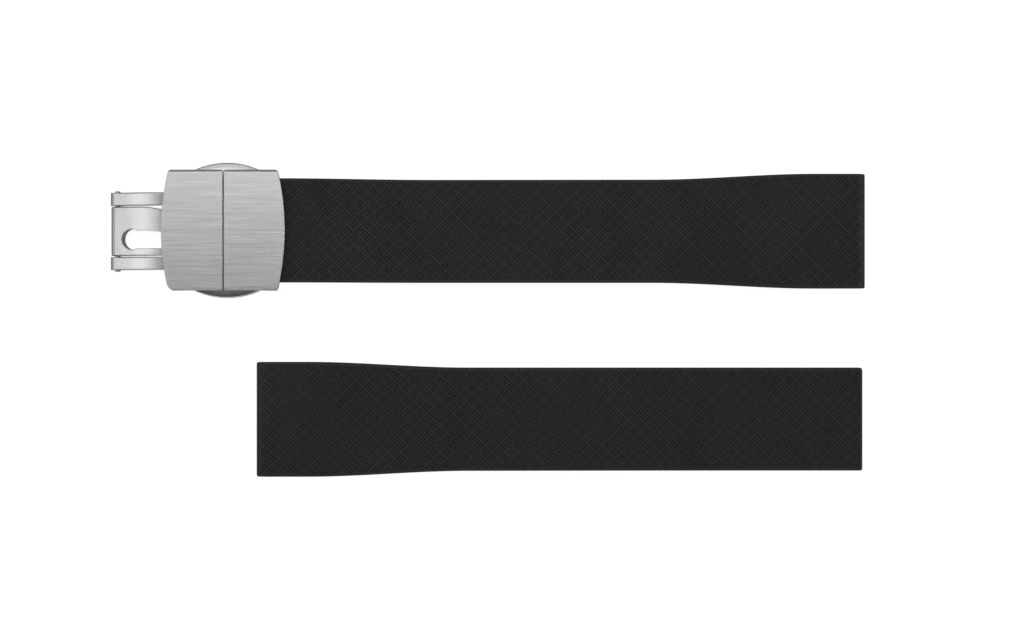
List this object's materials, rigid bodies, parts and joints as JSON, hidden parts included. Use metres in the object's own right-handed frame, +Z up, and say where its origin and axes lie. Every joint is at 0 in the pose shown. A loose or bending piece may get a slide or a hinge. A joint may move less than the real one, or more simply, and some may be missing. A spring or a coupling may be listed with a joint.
{
  "type": "rubber watch strap",
  "caption": "Two-piece rubber watch strap with a basket-weave surface and a push-button butterfly clasp closed on one half.",
  "frame": {"origin": "bottom centre of the whole lay-out's box, on the table", "axes": "+X along the straps, from the clasp to the watch end of the upper strap; +Y from the lower strap to the upper one; +Z up, out of the straps' textured faces"},
  "size_m": [0.132, 0.0546, 0.009],
  "materials": {
    "rubber": "matt black, moulded basket-weave texture with smooth borders",
    "brushed_steel": "brushed along the strap's length",
    "satin_steel": "fine satin",
    "polished_steel": "semi-polished",
    "pin_steel": "turned",
    "spring_steel": "drawn wire"
  },
  "bodies": {
    "base": {"base_bridge": "satin_steel", "pusher_housing": "satin_steel", "housing_rivets": "pin_steel", "left_hinge_pin": "pin_steel", "right_hinge_pin": "pin_steel", "pusher_stop_pins": "pin_steel", "pusher_spring": "spring_steel", "lower_strap": "rubber"},
    "left_wing": {"left_wing": "satin_steel"},
    "right_wing": {"right_wing": "satin_steel"},
    "left_cover": {"left_cover": "brushed_steel", "left_cover_pin": "pin_steel", "left_bar_tube": "pin_steel", "left_bar_spring": "spring_steel"},
    "right_cover": {"right_cover": "brushed_steel", "right_cover_pin": "pin_steel", "right_bar_tube": "pin_steel", "right_bar_spring": "spring_steel"},
    "upper_strap": {"upper_strap": "rubber"},
    "left_bar_tip_back": {"left_bar_tip_back": "pin_steel"},
    "left_bar_tip_front": {"left_bar_tip_front": "pin_steel"},
    "right_bar_tip_back": {"right_bar_tip_back": "pin_steel"},
    "right_bar_tip_front": {"right_bar_tip_front": "pin_steel"},
    "back_pusher": {"back_pusher": "polished_steel"},
    "front_pusher": {"front_pusher": "polished_steel"}
  },
  "joints": [
    {"name": "left_wing_fold", "type": "hinge", "parent": "base", "child": "left_wing", "pos_m": [-0.06485, 0.01558, 0.0012], "axis": [0, -1, 0], "range_deg": [0, 165]},
    {"name": "right_wing_fold", "type": "hinge", "parent": "base", "child": "right_wing", "pos_m": [-0.02605, 0.01558, 0.0012], "axis": [0, 1, 0], "range_deg": [0, 165]},
    {"name": "left_cover_pivot", "type": "hinge", "parent": "left_wing", "child": "left_cover", "pos_m": [-0.04985, 0.01558, 0.00606], "axis": [0, -1, 0], "range_deg": [-165, 0]},
    {"name": "right_cover_pivot", "type": "hinge", "parent": "right_wing", "child": "right_cover", "pos_m": [-0.04105, 0.01558, 0.00606], "axis": [0, 1, 0], "range_deg": [-165, 0]},
    {"name": "strap_pivot", "type": "hinge", "parent": "right_cover", "child": "upper_strap", "pos_m": [-0.03745, 0.01558, 0.00644], "axis": [0, -1, 0], "range_deg": [-1, 4]},
    {"name": "left_bar_back_tip_slide", "type": "slide", "parent": "left_cover", "child": "left_bar_tip_back", "axis": [0, -1, 0], "range_m": [0, 0.00095], "stiffness_N_per_m": 60, "springref_m": -0.002, "deforming": ["left_bar_spring"]},
    {"name": "left_bar_front_tip_slide", "type": "slide", "parent": "left_cover", "child": "left_bar_tip_front", "axis": [0, 1, 0], "range_m": [0, 0.00095], "stiffness_N_per_m": 60, "springref_m": -0.002, "deforming": ["left_bar_spring"]},
    {"name": "right_bar_back_tip_slide", "type": "slide", "parent": "right_cover", "child": "right_bar_tip_back", "axis": [0, -1, 0], "range_m": [0, 0.00095], "stiffness_N_per_m": 60, "springref_m": -0.002, "deforming": ["right_bar_spring"]},
    {"name": "right_bar_front_tip_slide", "type": "slide", "parent": "right_cover", "child": "right_bar_tip_front", "axis": [0, 1, 0], "range_m": [0, 0.00095], "stiffness_N_per_m": 60, "springref_m": -0.002, "deforming": ["right_bar_spring"]},
    {"name": "back_pusher_slide", "type": "slide", "parent": "base", "child": "back_pusher", "axis": [0, -1, 0], "range_m": [0, 0.0008], "stiffness_N_per_m": 400, "springref_m": -0.002, "deforming": ["pusher_spring"]},
    {"name": "front_pusher_slide", "type": "slide", "parent": "base", "child": "front_pusher", "axis": [0, 1, 0], "range_m": [0, 0.0008], "stiffness_N_per_m": 400, "springref_m": -0.002, "deforming": ["pusher_spring"]}
  ],
  "couplings": [
    {"joint": "left_cover_pivot", "follows": "left_wing_fold", "ratio": -1},
    {"joint": "right_cover_pivot", "follows": "right_wing_fold", "ratio": -1}
  ]
}
